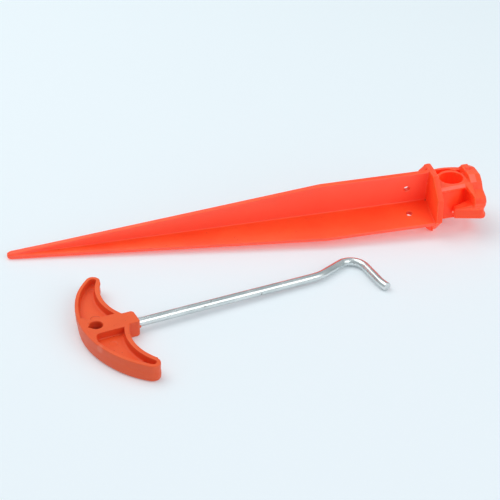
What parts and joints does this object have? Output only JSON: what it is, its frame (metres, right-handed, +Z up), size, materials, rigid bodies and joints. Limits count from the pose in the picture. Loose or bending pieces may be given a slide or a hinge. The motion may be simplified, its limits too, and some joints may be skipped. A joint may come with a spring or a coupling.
{
  "type": "tent stake",
  "caption": "Moulded angle-section tent stake with stop flange, corded eye, rope hook and driving cap, with a crescent-handled wire hook for pulling it out of the ground.",
  "frame": {"origin": "on the table plane, under the middle of the footprint of the stake and puller together", "axes": "+X along the stake from tip to driving cap, +Y from the puller towards the stake, +Z up from the table"},
  "size_m": [0.3202, 0.1614, 0.0426],
  "materials": {
    "stake_plastic": "fluorescent orange-red moulded plastic, satin gloss",
    "handle_plastic": "duller orange moulded plastic, semi-matte",
    "rod_steel": "bright zinc-plated wire with drawing marks"
  },
  "bodies": {
    "stake": {"stake_body": "stake_plastic"},
    "puller": {"puller_handle": "handle_plastic", "puller_hook_rod": "rod_steel"}
  },
  "joints": [
    {"name": "puller_lift", "type": "slide", "parent": "stake", "child": "puller", "axis": [0, 0, 1], "range_m": [0, 0.12]}
  ]
}
